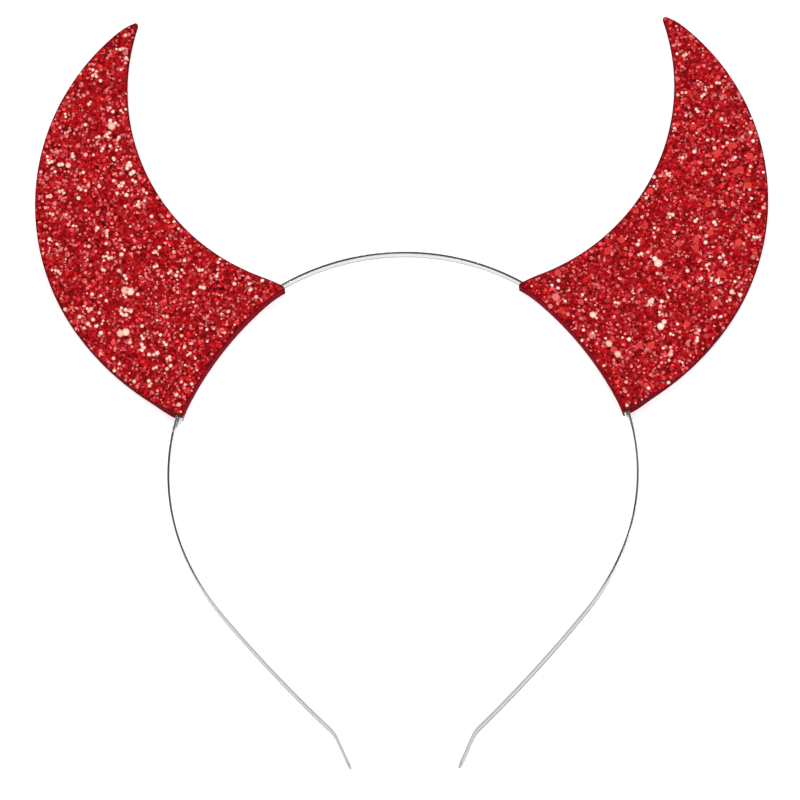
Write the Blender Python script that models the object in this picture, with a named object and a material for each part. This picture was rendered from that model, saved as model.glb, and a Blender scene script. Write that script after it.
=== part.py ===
"""Devil horns headband: a springy steel strip with two flat horns of glitter cloth glued round it.

The headband lies on its back. The band's plane is level, the horns point along +Y, the strip's two free ends
along -Y, and the strip stands on edge, its width along Z. The origin is on the floor, under the middle of the
whole outline. Lengths are in metres and angles in degrees.

Each horn is two plies of cloth, front and back, glued face to face. Along the horn's foot the two plies part and
wrap round the strip, as a sleeve that is open at both ends.
"""

import math
from types import SimpleNamespace

import bpy
import numpy as np

# The steel strip
STRIP_WIDTH = 0.0050
STRIP_THICKNESS = 0.00065
STRIP_EDGE_CHAMFER = 0.0002

# The strip's route from the middle of the crown to a free end: arcs that run into each other, each turning on by so
# many degrees. The side arc turns as far as leaves the two free ends END_GAP apart.
CROWN_RADIUS = 0.0700
CROWN_TURN = 30.7
SHOULDER_RADIUS = 0.0290
SHOULDER_TURN = 10.4
HORN_SEAT_RADIUS = 0.0985
HORN_SEAT_TURN = 22.1
TEMPLE_RADIUS = 0.0290
TEMPLE_TURN = 9.5
SIDE_RADIUS = 0.0610
HAUNCH_RADIUS = 0.0732
HAUNCH_TURN = 13.0
LEG_LENGTH = 0.0461
LEG_TURN = 6.5
HOOK_RADIUS = 0.0096
HOOK_TURN = -21.8
FLICK_LENGTH = 0.0096
END_GAP = 0.0312

# The horns. The outline is set out from the sleeve's upper mouth: `out` is square to the strip there, away from the
# head, and `down` runs along the strip, away from the crown. The outer edge is a tight arc at the beak of the tip, one
# long arc down the side and a flatter one where it nears the strip. The upper edge is a hollow arc from the tip, and a
# straight run to the mouth. Their joins are given by how far the edge or its normal is turned from `down` there.
MOUTH_STATION = 0.0360
OUTER_RADIUS = 0.0662
OUTER_CENTRE_OUT = 0.0241
OUTER_CENTRE_DOWN = -0.0074
LOWER_RADIUS = 0.0780
LOWER_JOIN_TURN = 6.0
BEAK_RADIUS = 0.0176
BEAK_JOIN_TURN = 80.0
UPPER_RADIUS = 0.0595
UPPER_CENTRE_OUT = 0.0437
UPPER_CENTRE_DOWN = -0.0417
UPPER_RUN_TURN = 56.0
TIP_RADIUS = 0.0008

# The plies, and how they wrap the strip
PLY_THICKNESS = 0.0010
GLUE_GAP = 0.0003
FIT_GAP = 0.0003
SLEEVE_INNER_RADIUS = 0.0005
SLEEVE_TOP_WIDTH = 0.0012
FADE_LENGTH = 0.0084

# How finely curves are cut, and the angle from which an edge is shown sharp
ARC_STEP = 3.5
STRIP_STEP = 0.0200
ROUND_END_SWEEP = 80.0
ROUND_END_STEPS = 6
PLY_COLUMNS = 12
CORNER_STEPS = 2
FADE_STEPS = 6
BODY_ROWS = 20
TIP_ROWS = 3
TIP_FLAT = 0.4
SHARP_ANGLE = 40.0

# How far construction lines and searches reach
SIDE_TURN_LIMITS = (0.0, 120.0)
HALVINGS = 50
LOWER_SWEEP = 40.0
EDGE_POINTS = 300
ROW_SEARCH_POINTS = 4000


def turned(direction, degrees):
    """A plan direction turned anticlockwise."""
    c, s = math.cos(math.radians(degrees)), math.sin(math.radians(degrees))
    return np.array([c * direction[0] - s * direction[1], s * direction[0] + c * direction[1]])


def route(side_turn):
    """The strip's arcs: station, x, y and heading where each starts, then its bend and its length.

    The station is the distance along the strip from the crown's middle, the heading is how far the strip has turned
    down from level, and the bend is the heading's change for each metre. The last row is the free end.
    """
    arcs = (
        (CROWN_RADIUS * math.radians(CROWN_TURN), CROWN_TURN),
        (SHOULDER_RADIUS * math.radians(SHOULDER_TURN), SHOULDER_TURN),
        (HORN_SEAT_RADIUS * math.radians(HORN_SEAT_TURN), HORN_SEAT_TURN),
        (TEMPLE_RADIUS * math.radians(TEMPLE_TURN), TEMPLE_TURN),
        (SIDE_RADIUS * math.radians(side_turn), side_turn),
        (HAUNCH_RADIUS * math.radians(HAUNCH_TURN), HAUNCH_TURN),
        (LEG_LENGTH, LEG_TURN),
        (HOOK_RADIUS * math.radians(-HOOK_TURN), HOOK_TURN),
        (FLICK_LENGTH, 0.0),
    )
    rows = []
    station, point, heading = 0.0, np.array([0.0, CROWN_RADIUS]), 0.0
    for length, degrees in arcs:
        turn = math.radians(degrees)
        rows.append((station, *point, heading, turn / length, length))
        middle = heading + turn / 2
        chord = length * np.sinc(turn / 2 / math.pi)
        point = point + chord * np.array([math.cos(middle), -math.sin(middle)])
        station, heading = station + length, heading + turn
    rows.append((station, *point, heading, 0.0, 0.0))
    return np.array(rows)


def closing_turn():
    """The side arc's turn that brings the free end to half of END_GAP from the middle, found by halving."""
    low, high = SIDE_TURN_LIMITS
    for _ in range(HALVINGS):
        middle = (low + high) / 2
        if route(middle)[-1, 1] > END_GAP / 2:
            low = middle
        else:
            high = middle
    return middle


ROUTE = route(closing_turn())
END_STATION = ROUTE[-1, 0]


def along(station, side=0.0):
    """Plan points `station` along the strip from the crown's middle and `side` out from it, and the outward normals.

    A point of an arc is its start plus the chord so far, whose direction is the mean of the two headings.
    """
    station = np.asarray(station, float)
    start, x, y, heading, bend, _ = ROUTE[np.searchsorted(ROUTE[1:-1, 0], station, side="right")].T
    gone = station - start
    middle = heading + bend * gone / 2
    chord = gone * np.sinc(bend * gone / 2 / math.pi)
    now = heading + bend * gone
    normal = np.stack([np.sin(now), np.cos(now)], axis=-1)
    point = np.stack([x + chord * np.cos(middle), y - chord * np.sin(middle)], axis=-1)
    return point + normal * np.asarray(side)[..., None], normal


def closed_grid(name, outer, inner, flip):
    """A closed mesh between two grids of points, rows by columns, joined along all four borders."""
    rows, columns = outer.shape[:2]
    count = rows * columns
    points = np.concatenate([outer.reshape(-1, 3), inner.reshape(-1, 3)])
    index = np.arange(count).reshape(rows, columns)
    faces = quads(index) + [face[::-1] for face in quads(index + count)]
    rim = [*index[0, :], *index[1:, -1], *index[-1, -2::-1], *index[-2:0:-1, 0]]
    for here, there in zip(rim, rim[1:] + rim[:1]):
        faces.append((here, there, there + count, here + count))
    if flip:
        faces = [face[::-1] for face in faces]
    return new_object(name, points, faces)


def quads(index):
    """The four corners of each cell of a grid of point numbers."""
    corners = (index[:-1, :-1], index[1:, :-1], index[1:, 1:], index[:-1, 1:])
    return np.stack(corners, axis=-1).reshape(-1, 4).tolist()


def new_object(name, points, faces):
    """A smooth-shaded object of these points and faces, with its sharp edges kept."""
    mesh = bpy.data.meshes.new(name)
    mesh.from_pydata(points.tolist(), [], faces)
    mesh.shade_smooth()
    mesh.set_sharp_from_angle(angle=math.radians(SHARP_ANGLE))
    obj = bpy.data.objects.new(name, mesh)
    bpy.context.scene.collection.objects.link(obj)
    return obj


def material(name, colour, roughness, metallic):
    """A plain material with these Principled values."""
    made = bpy.data.materials.new(name)
    made.use_nodes = True
    shader = made.node_tree.nodes["Principled BSDF"]
    shader.inputs["Base Color"].default_value = (*colour, 1.0)
    shader.inputs["Roughness"].default_value = roughness
    shader.inputs["Metallic"].default_value = metallic
    return made


def strip_stations():
    """Stations of the half strip's sections: each arc in equal steps, then the round end's in equal angles."""
    stations = []
    for start, _, _, _, bend, length in ROUTE[:-1]:
        steps = max(math.degrees(abs(bend) * length) / ARC_STEP, length / STRIP_STEP)
        stations += list(start + np.linspace(0, length, math.ceil(steps), endpoint=False))
    radius = STRIP_WIDTH / 2
    angles = np.radians(np.linspace(0, ROUND_END_SWEEP, ROUND_END_STEPS))
    stations = [station for station in stations if station < END_STATION - radius]
    return np.array(stations + list(END_STATION - radius + radius * np.sin(angles)))


def strip_section(half_width):
    """One section of the strip round its edge, as offsets out and up: a thin rectangle with its corners taken off."""
    half = STRIP_THICKNESS / 2
    cut = min(STRIP_EDGE_CHAMFER, half_width)
    corner = np.array([(half, half_width - cut), (half - cut, half_width)])
    corners = (corner, corner[::-1] * (-1, 1), -corner, corner[::-1] * (1, -1))
    return np.concatenate(corners)


def strip():
    """The steel strip: sections swept along the route and its mirror image, with full-round ends."""
    half = strip_stations()
    stations = np.concatenate([-half[:0:-1], half])
    side = np.where(stations < 0, -1.0, 1.0)
    middle, normal = along(np.abs(stations))
    middle[:, 0] *= side
    normal[:, 0] *= side
    radius = STRIP_WIDTH / 2
    past = np.clip(np.abs(stations) - (END_STATION - radius), 0, radius)
    rings = []
    for point, out, half_width in zip(middle, normal, np.sqrt(radius**2 - past**2)):
        section = strip_section(half_width)
        plan = point + section[:, :1] * out
        rings.append(np.column_stack([plan, section[:, 1]]))
    sides = len(rings[0])
    index = np.arange(len(rings) * sides).reshape(-1, sides)
    faces = quads(np.column_stack([index[:, 0], index[:, ::-1]]))
    faces += [index[0][::-1].tolist(), index[-1].tolist()]
    obj = new_object("headband_strip", np.concatenate(rings), faces)
    obj.data.materials.append(material("nickel_plated_spring_steel", (0.62, 0.62, 0.62), 0.22, 1.0))
    return obj


def meeting(centre_a, radius_a, centre_b, radius_b):
    """The point where two circles meet, on the left of the way from the first centre to the second."""
    way = centre_b - centre_a
    apart = np.hypot(*way)
    way = way / apart
    ahead = (apart**2 + radius_a**2 - radius_b**2) / (2 * apart)
    return centre_a + ahead * way + math.sqrt(radius_a**2 - ahead**2) * turned(way, 90)


def arc(centre, start, end, shares):
    """Points at shares of the way round a circle from one of its points to another, the short way."""
    first, last = start - centre, end - centre
    turn = math.atan2(first[0] * last[1] - first[1] * last[0], first @ last)
    angle = math.atan2(first[1], first[0]) + turn * shares
    return centre + np.hypot(*first) * np.stack([np.cos(angle), np.sin(angle)], axis=-1)


def sleeve_profile():
    """Rows of the ply's wall across the strip: outer and inner side offsets, and outer and inner heights.

    The wall stands beside the strip, turns over its edge, runs level and then eases down until the plies meet.
    """
    inner_top = STRIP_WIDTH / 2 + FIT_GAP
    outer_top = inner_top + PLY_THICKNESS
    seam = GLUE_GAP / 2
    inner_wall = -(STRIP_THICKNESS / 2 + FIT_GAP)
    outer_wall = inner_wall - PLY_THICKNESS
    outer_radius = SLEEVE_INNER_RADIUS + PLY_THICKNESS
    bend = (inner_wall + SLEEVE_INNER_RADIUS, inner_top - SLEEVE_INNER_RADIUS)
    rows = [(outer_wall, inner_wall, seam, seam)]
    for angle in np.radians(np.linspace(180, 90, CORNER_STEPS + 2)):
        c, s = math.cos(angle), math.sin(angle)
        outer = (bend[0] + outer_radius * c, bend[1] + outer_radius * s)
        inner = (bend[0] + SLEEVE_INNER_RADIUS * c, bend[1] + SLEEVE_INNER_RADIUS * s)
        rows.append((outer[0], inner[0], outer[1], inner[1]))
    for share in np.linspace(0, 1, FADE_STEPS + 1):
        side = bend[0] + SLEEVE_TOP_WIDTH + FADE_LENGTH * share
        drop = (inner_top - seam) * (1 - math.cos(math.pi * share)) / 2
        rows.append((side, side, outer_top - drop, inner_top - drop))
    return rows


def resampled(line, start, shares):
    """Points at shares of the way along a line of points, after it is cut off where it passes `start`."""
    nearest = np.argmin(np.hypot(*(line - start).T))
    line = np.vstack([start, line[nearest + 1 :]])
    gone = np.concatenate([[0.0], np.cumsum(np.hypot(*np.diff(line, axis=0).T))])
    return np.column_stack([np.interp(shares * gone[-1], gone, axis) for axis in line.T])


def horn_outline():
    """The right horn's outline in plan: its outer and upper edges as lines of points, and the circle of its tip.

    It also gives two tests of points near the strip: inside the upper edge, and outside the lower part of the outer.
    """
    mouth, out = along(MOUTH_STATION)
    down = turned(out, -90)
    outer_centre = mouth + OUTER_CENTRE_OUT * out + OUTER_CENTRE_DOWN * down
    upper_centre = mouth + UPPER_CENTRE_OUT * out + UPPER_CENTRE_DOWN * down
    beak_normal = turned(down, BEAK_JOIN_TURN)
    beak_join = outer_centre + OUTER_RADIUS * beak_normal
    beak_centre = beak_join - BEAK_RADIUS * beak_normal
    tip = meeting(upper_centre, UPPER_RADIUS + TIP_RADIUS, beak_centre, BEAK_RADIUS - TIP_RADIUS)
    outer_touch = beak_centre + BEAK_RADIUS * (tip - beak_centre) / np.hypot(*(tip - beak_centre))
    upper_touch = upper_centre + UPPER_RADIUS * (tip - upper_centre) / np.hypot(*(tip - upper_centre))
    shares = np.linspace(0, 1, EDGE_POINTS)

    join_normal = turned(down, -LOWER_JOIN_TURN)
    outer_join = outer_centre + OUTER_RADIUS * join_normal
    lower_centre = outer_join - LOWER_RADIUS * join_normal
    lower_start = lower_centre + LOWER_RADIUS * turned(join_normal, -LOWER_SWEEP)
    lower_arc = arc(lower_centre, lower_start, outer_join, shares)
    side_arc = arc(outer_centre, outer_join, beak_join, shares)
    outer_line = np.vstack([lower_arc, side_arc, arc(beak_centre, beak_join, outer_touch, shares)])

    run_way = turned(down, UPPER_RUN_TURN)
    run_normal = turned(run_way, -90)
    run_end = upper_centre + UPPER_RADIUS * run_normal
    run = run_end + np.outer(shares - 1, run_way) * np.hypot(*(run_end - mouth))
    upper_line = np.vstack([run, arc(upper_centre, run_end, upper_touch, shares)])

    def inside_upper(points):
        beside_run = (points - run_end) @ run_normal
        outside_arc = np.hypot(*(points - upper_centre).T) - UPPER_RADIUS
        return np.where((points - run_end) @ run_way < 0, beside_run, outside_arc) > 0

    def outside_lower(points):
        return np.hypot(*(points - lower_centre).T) > LOWER_RADIUS

    return SimpleNamespace(
        outer_line=outer_line, upper_line=upper_line, inside_upper=inside_upper, outside_lower=outside_lower,
        tip=tip, outer_touch=outer_touch, upper_touch=upper_touch,
    )


def foot_row(side, outline):
    """Points of one row of the foot, at a fixed distance out from the strip, from the upper edge to the lower one.

    Both ends are where the row crosses the horn's outline, but the upper end is no nearer the crown than the mouth.
    """
    stations = np.linspace(MOUTH_STATION, END_STATION, ROW_SEARCH_POINTS)
    points, _ = along(stations, side)
    first = stations[np.argmax(outline.inside_upper(points))]
    last = stations[np.argmax(outline.outside_lower(points))]
    return along(np.linspace(first, last, PLY_COLUMNS + 1), side)[0]


def body_rows(outline, foot):
    """Rows from the foot's last row to the tip, between the two edges, losing the foot's bow as they go."""
    across = np.linspace(0, 1, PLY_COLUMNS + 1)[:, None]
    chord = foot[-1] - foot[0]
    bow = (foot - foot[0]) @ turned(chord, 90) / (chord @ chord)
    shares = np.arange(1, BODY_ROWS + 1) / BODY_ROWS
    outer_ends = resampled(outline.outer_line, foot[-1], shares)
    upper_ends = resampled(outline.upper_line, foot[0], shares)
    rows = []
    for share, outer_end, upper_end in zip(shares, outer_ends, upper_ends):
        chord = outer_end - upper_end
        rows.append(upper_end + across * chord + (1 - share) ** 2 * bow[:, None] * turned(chord, 90))
    return rows


def tip_rows(outline):
    """Rows that close the horn round its tip's circle, the last one nearly a point."""
    ahead = (outline.outer_touch + outline.upper_touch) / 2 - outline.tip
    peak = outline.tip + TIP_RADIUS * ahead / np.hypot(*ahead)
    shares = np.arange(1, TIP_ROWS + 1) / (TIP_ROWS + TIP_FLAT)
    outer_ends = arc(outline.tip, outline.outer_touch, peak, shares)
    upper_ends = arc(outline.tip, outline.upper_touch, peak, shares)
    across = np.linspace(0, 1, PLY_COLUMNS + 1)[:, None]
    return [upper_end + across * (outer_end - upper_end) for outer_end, upper_end in zip(outer_ends, upper_ends)]


def horn_rows():
    """The right horn's rows: plan points of the outer and inner face, then their heights over the middle plane."""
    outline = horn_outline()
    rows = []
    for outer_side, inner_side, outer_height, inner_height in sleeve_profile():
        rows.append((foot_row(outer_side, outline), foot_row(inner_side, outline), outer_height, inner_height))
    foot, _, outer_height, inner_height = rows[-1]
    for row in body_rows(outline, foot) + tip_rows(outline):
        rows.append((row, row, outer_height, inner_height))
    return rows


def ply(name, rows, side, face, cloth):
    """One ply of a horn: side 1 is the right horn and face 1 its front, and -1 the left horn and its back."""
    grids = []
    for plan, height in ((0, 2), (1, 3)):
        grid = [np.column_stack([row[plan], np.full(len(row[plan]), row[height])]) for row in rows]
        grids.append(np.array(grid) * (side, 1, face))
    obj = closed_grid(name, *grids, flip=side * face > 0)
    obj.data.materials.append(cloth)
    return obj


def build():
    """All five pieces, set down on the floor with the origin under the middle of the outline."""
    for old in list(bpy.data.objects):
        bpy.data.objects.remove(old)
    pieces = [strip()]
    rows = horn_rows()
    cloth = material("red_glitter_cloth", (0.42, 0.01, 0.02), 0.45, 0.0)
    for side, side_name in ((1, "right"), (-1, "left")):
        for face, face_name in ((1, "front"), (-1, "back")):
            pieces.append(ply(f"{side_name}_horn_{face_name}", rows, side, face, cloth))
    points = np.array([corner.co for piece in pieces for corner in piece.data.vertices])
    low, high = points.min(axis=0), points.max(axis=0)
    for piece in pieces:
        piece.location = (0.0, -(low[1] + high[1]) / 2, -low[2])


build()
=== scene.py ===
# %% [markdown]
# # A devil horns headband
#
# The real thing is a springy steel strip, bent to fit over a head, with two flat horns of red glitter
# cloth. Each horn is two plies glued face to face, and the strip runs between them through a sleeve along
# the horn's foot.
#
# The CAD model already says where everything is. This file loads it as a fixed frame, then works out finer
# surfaces for the strip and the cloth from the same few sizes, and adds what CAD leaves out: the glitter,
# the cut edges, the drops of glue and the light. All lengths are in millimetres, and turn to metres where a
# mesh is made. Only the stage, at the end, is laid out in metres.

# %% Load the CAD frame
import math

import bpy
import numpy as np
from mathutils import Matrix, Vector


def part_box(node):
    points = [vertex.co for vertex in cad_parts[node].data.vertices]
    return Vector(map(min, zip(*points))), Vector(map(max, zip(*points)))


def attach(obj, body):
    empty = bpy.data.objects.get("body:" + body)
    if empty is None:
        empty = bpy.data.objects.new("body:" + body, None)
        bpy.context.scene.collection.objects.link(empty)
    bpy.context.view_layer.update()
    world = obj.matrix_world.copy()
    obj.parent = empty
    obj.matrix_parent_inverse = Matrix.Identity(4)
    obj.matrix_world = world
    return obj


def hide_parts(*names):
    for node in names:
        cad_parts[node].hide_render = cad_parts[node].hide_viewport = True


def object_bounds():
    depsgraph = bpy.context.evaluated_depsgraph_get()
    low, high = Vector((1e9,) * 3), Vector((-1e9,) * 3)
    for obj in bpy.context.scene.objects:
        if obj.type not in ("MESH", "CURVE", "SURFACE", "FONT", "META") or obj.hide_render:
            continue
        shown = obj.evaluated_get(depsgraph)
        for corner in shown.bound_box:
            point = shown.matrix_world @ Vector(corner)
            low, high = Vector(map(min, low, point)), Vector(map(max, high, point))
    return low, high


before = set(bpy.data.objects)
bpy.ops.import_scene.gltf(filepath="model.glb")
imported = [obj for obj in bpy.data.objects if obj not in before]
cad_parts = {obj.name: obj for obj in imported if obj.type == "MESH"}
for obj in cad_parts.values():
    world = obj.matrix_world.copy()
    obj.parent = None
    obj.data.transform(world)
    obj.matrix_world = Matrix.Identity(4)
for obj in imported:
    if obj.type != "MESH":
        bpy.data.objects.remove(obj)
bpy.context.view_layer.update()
MM = 0.001
strip_low, strip_high = (np.array(corner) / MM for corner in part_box("headband_strip"))
print("CAD nodes:", ", ".join(sorted(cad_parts)))

# %% [markdown]
# ## The camera
#
# The photograph looks almost straight down on the headband. The strip stands on its edge, and its far edge
# shows a little under its near edge. For a strip 5 mm wide that gives the tilt. The lens is long, so that
# the view is nearly parallel, and its width at the object is 800 pixels of 0.2885 mm. A point of the
# headband whose pixel is known says where to aim.

# %% The camera
PHOTO_SIDE = 800
PIXEL = 0.2885
TILT, YAW, ROLL = 12.8, 1.5, -0.35
CAMERA_AWAY = 8000.0
ANCHOR_PIXEL = (403.5, 480.0)
ANCHOR_POINT = np.array([0.08, -25.55, 3.80])


def unit(vectors):
    """Each vector divided by its length."""
    return vectors / np.linalg.norm(vectors, axis=-1, keepdims=True)


def camera_axes(tilt, yaw, roll):
    """The camera's right, up and back directions: level at first, then turned by the roll."""
    t, y, r = np.radians([tilt, yaw, roll])
    back = np.array([math.sin(y) * math.cos(t), -math.sin(t), math.cos(y) * math.cos(t)])
    right = unit(np.cross((0, 1, 0), back))
    up = np.cross(back, right)
    return math.cos(r) * right + math.sin(r) * up, math.cos(r) * up - math.sin(r) * right, back


def pose_of(right, up, back, place):
    """The matrix of a thing whose own axes point right, up and back, at a place in metres."""
    pose = np.eye(4)
    pose[:3, :3] = np.column_stack([right, up, back])
    pose[:3, 3] = place
    return Matrix(pose.tolist())


right, up, back = camera_axes(TILT, YAW, ROLL)
half_side = PHOTO_SIDE / 2
aim = ANCHOR_POINT + PIXEL * ((half_side - ANCHOR_PIXEL[0]) * right + (ANCHOR_PIXEL[1] - half_side) * up)
camera_data = bpy.data.cameras.new("camera")
camera_data.sensor_width = 36.0
camera_data.lens = camera_data.sensor_width * CAMERA_AWAY / (PHOTO_SIDE * PIXEL)
camera_data.clip_end = 30.0
camera = bpy.data.objects.new("camera", camera_data)
bpy.context.scene.collection.objects.link(camera)
camera.matrix_world = pose_of(right, up, back, (aim + CAMERA_AWAY * back) * MM)
bpy.context.scene.camera = camera
print("lens in mm:", round(camera_data.lens), " aimed at:", aim.round(2))

# %% [markdown]
# ## Colours, nodes and meshes
#
# Small tools for three jobs serve the whole file. Colours are written as the hex codes that a picture
# editor shows, and the renderer wants them linear. A material is a graph of nodes, so one function adds a
# node with its settings and links. A mesh is three arrays, points, corners and faces, and they go in whole.

# %% Helpers for colours, nodes and meshes
SHARP_ANGLE = 50.0


def linear(code):
    """Linear RGBA of an sRGB hex colour: a straight line near black, and a power of 2.4 above it."""
    srgb = np.array([int(code[i : i + 2], 16) for i in (1, 3, 5)]) / 255
    low, high = srgb / 12.92, ((srgb + 0.055) / 1.055) ** 2.4
    return (*np.where(srgb <= 0.04045, low, high).tolist(), 1.0)


def add(tree, kind, inputs=None, stops=None, **settings):
    """Adds a node. An input that is another node's output is linked, and any other is set on the socket."""
    made = tree.nodes.new("ShaderNode" + kind)
    for name, value in settings.items():
        setattr(made, name, value)
    for name, value in (inputs or {}).items():
        if isinstance(value, bpy.types.NodeSocket):
            tree.links.new(value, made.inputs[name])
        else:
            made.inputs[name].default_value = value
    for index, (place, code) in enumerate(stops or ()):
        elements = made.color_ramp.elements
        stop = elements[index] if index < 2 else elements.new(place)
        stop.position, stop.color = place, linear(code)
    return made


def new_material(name, **values):
    """A material with its tree and its shader, whose uniform values are set on the shader's own sockets."""
    made = bpy.data.materials.new(name)
    made.use_nodes = True
    shader = made.node_tree.nodes["Principled BSDF"]
    for socket, value in values.items():
        shader.inputs[socket.replace("_", " ")].default_value = value
    return made, made.node_tree, shader


def volume_of(points, faces):
    """The volume that outward faces enclose: a sixth of the sum of each triangle's box product."""
    a = points[faces[:, 0]]
    total = 0.0
    for k in range(1, faces.shape[1] - 1):
        total += np.einsum("ij,ij->", a, np.cross(points[faces[:, k]], points[faces[:, k + 1]]))
    return total / 6


def put(name, points, faces, materials, face_slots=None):
    """A piece of the headband from points in mm and faces of equal size, turned to face outwards."""
    volume = volume_of(points, faces)
    if volume < 0:
        faces = faces[:, ::-1]
    mesh = bpy.data.meshes.new(name)
    mesh.vertices.add(len(points))
    mesh.vertices.foreach_set("co", (points * MM).ravel())
    mesh.loops.add(faces.size)
    mesh.loops.foreach_set("vertex_index", faces.ravel())
    mesh.polygons.add(len(faces))
    mesh.polygons.foreach_set("loop_start", np.arange(0, faces.size, faces.shape[1]))
    for material in materials:
        mesh.materials.append(material)
    if face_slots is not None:
        mesh.polygons.foreach_set("material_index", face_slots)
    mesh.update()
    mesh.shade_smooth()
    mesh.set_sharp_from_angle(angle=math.radians(SHARP_ANGLE))
    piece = bpy.data.objects.new(name, mesh)
    bpy.context.scene.collection.objects.link(piece)
    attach(piece, "root")
    print(f"{name}: {len(points)} points, {len(faces)} faces, {abs(volume) / 1000:.3f} cm3")
    return piece


def quads(index):
    """The four corners of each cell of a grid of point numbers."""
    corners = (index[:-1, :-1], index[1:, :-1], index[1:, 1:], index[:-1, 1:])
    return np.stack(corners, axis=-1).reshape(-1, 4)


# %% [markdown]
# ## The strip's route
#
# The strip is cold-bent on rollers, so its line is a chain of arcs that run into each other. A table of
# lengths and turns holds it, from the middle of the crown to a free end. The other half is its mirror
# image. Everything else on the headband is placed by a station, the distance along the strip, and a side,
# the distance out from it.

# %% The strip's route
STRIP_WIDTH, STRIP_THICKNESS = 5.0, 0.65
CROWN_RADIUS = 70.0
ROUTE_ARCS = (
    (37.5071, 30.7),
    (5.2639, 10.4),
    (37.9932, 22.1),
    (4.8084, 9.5),
    (46.2043, 43.3986),
    (16.6084, 13.0),
    (46.1, 6.5),
    (3.6526, -21.8),
    (9.6, 0.0),
)
MIDDLE_HEIGHT = (strip_low[2] + strip_high[2]) / 2
CROWN_CENTRE_Y = strip_high[1] - CROWN_RADIUS - STRIP_THICKNESS / 2


def route():
    """Station, x, y and heading where each arc starts, each arc's bend, and the length of it all.

    An arc's chord is its length times sin(t/2) / (t/2), where t is its turn.
    """
    length, turn = np.array(ROUTE_ARCS).T
    turn = np.radians(turn)
    station = np.concatenate([[0], np.cumsum(length)])
    heading = np.concatenate([[0], np.cumsum(turn)])
    middle = heading[:-1] + turn / 2
    chord = length * np.sinc(turn / 2 / math.pi)
    x = np.concatenate([[0], np.cumsum(chord * np.cos(middle))])
    y = CROWN_CENTRE_Y + CROWN_RADIUS - np.concatenate([[0], np.cumsum(chord * np.sin(middle))])
    return np.column_stack([station, x, y, heading])[:-1], turn / length, station[-1]


ARC_STARTS, ARC_BENDS, END_STATION = route()


def along(station, side=0.0):
    """Plan points `station` along the strip and `side` out from it, and the outward normals there.

    A point of an arc is the arc's start plus the chord so far, whose direction is the mean of the headings at
    its two ends.
    """
    station, side = np.broadcast_arrays(np.asarray(station, float), side)
    arc = np.searchsorted(ARC_STARTS[1:, 0], station, side="right")
    start, x, y, heading = np.moveaxis(ARC_STARTS[arc], -1, 0)
    gone = station - start
    half_turn = ARC_BENDS[arc] * gone / 2
    chord = gone * np.sinc(half_turn / math.pi)
    now = heading + 2 * half_turn
    normal = np.stack([np.sin(now), np.cos(now)], axis=-1)
    mean_heading = heading + half_turn
    point = np.stack([x + chord * np.cos(mean_heading), y - chord * np.sin(mean_heading)], axis=-1)
    return point + normal * side[..., None], normal


print("strip's length in mm:", round(2 * END_STATION, 1), " free end at:", along(END_STATION)[0].round(2))

# %% [markdown]
# ## The steel strip
#
# The real strip is slit from nickel-plated spring steel: flat faces with a bright rolled finish, edges that
# are only just rounded, and round ends. A curve with a bevel profile would make it too, but its ends can't
# be rounded that way. Here a profile, a thin rectangle with tiny round corners, is carried along the route,
# and over the last 2.5 mm its width follows a half circle.

# %% The strip's surface
STRIP_CORNER = 0.07
CORNER_STEPS = 4
STRIP_STEP = 0.8
END_STEPS, END_TURN = 12, 88.0


def strip_profile(half_width):
    """Offsets out and up round the strip's edge, for each half width: quarter circles joined by flats."""
    half = STRIP_THICKNESS / 2
    radius = np.minimum(STRIP_CORNER, half_width)[:, None]
    angle = np.radians(np.linspace(0, 90, CORNER_STEPS + 1))
    across = half - radius + radius * np.cos(angle)
    high = half_width[:, None] - radius + radius * np.sin(angle)
    across = np.concatenate([across, -across[:, ::-1], -across, across[:, ::-1]], axis=1)
    high = np.concatenate([high, high[:, ::-1], -high, -high[:, ::-1]], axis=1)
    return across, high


def strip_surface():
    """The strip's points, as rings of the profile. The station runs from one free end to the other.

    A round end's last ring stops 2 degrees short of its quarter circle, so that the cap has some width.
    """
    end_radius = STRIP_WIDTH / 2
    straight = END_STATION - end_radius
    even = np.linspace(0, straight, int(straight / STRIP_STEP))
    last = straight + end_radius * np.sin(np.radians(np.linspace(0, END_TURN, END_STEPS)))[1:]
    half = np.concatenate([even, last])
    station = np.concatenate([-half[:0:-1], half])
    past = np.clip(np.abs(station) - straight, 0, None)
    across, high = strip_profile(np.sqrt(end_radius**2 - past**2))
    point, normal = along(np.abs(station))
    mirror = np.where(station < 0, -1.0, 1.0)[:, None] * [1, 0] + [0, 1]
    plan = (point * mirror)[:, None] + across[..., None] * (normal * mirror)[:, None]
    return station, np.concatenate([plan, (high + MIDDLE_HEIGHT)[..., None]], axis=-1)


strip_station, strip_rings = strip_surface()
rings, sides = strip_rings.shape[:2]
ring_index = np.arange(rings * sides).reshape(rings, sides)
strip_faces = quads(np.column_stack([ring_index, ring_index[:, 0]]))
ladder = np.arange(sides // 2 - 1)
rungs = np.column_stack([ladder, ladder + 1, sides - 2 - ladder, sides - 1 - ladder])
strip_caps = np.concatenate([rungs[:, ::-1], rungs + (rings - 1) * sides])
print("rings:", rings, " points a ring:", sides)
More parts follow.
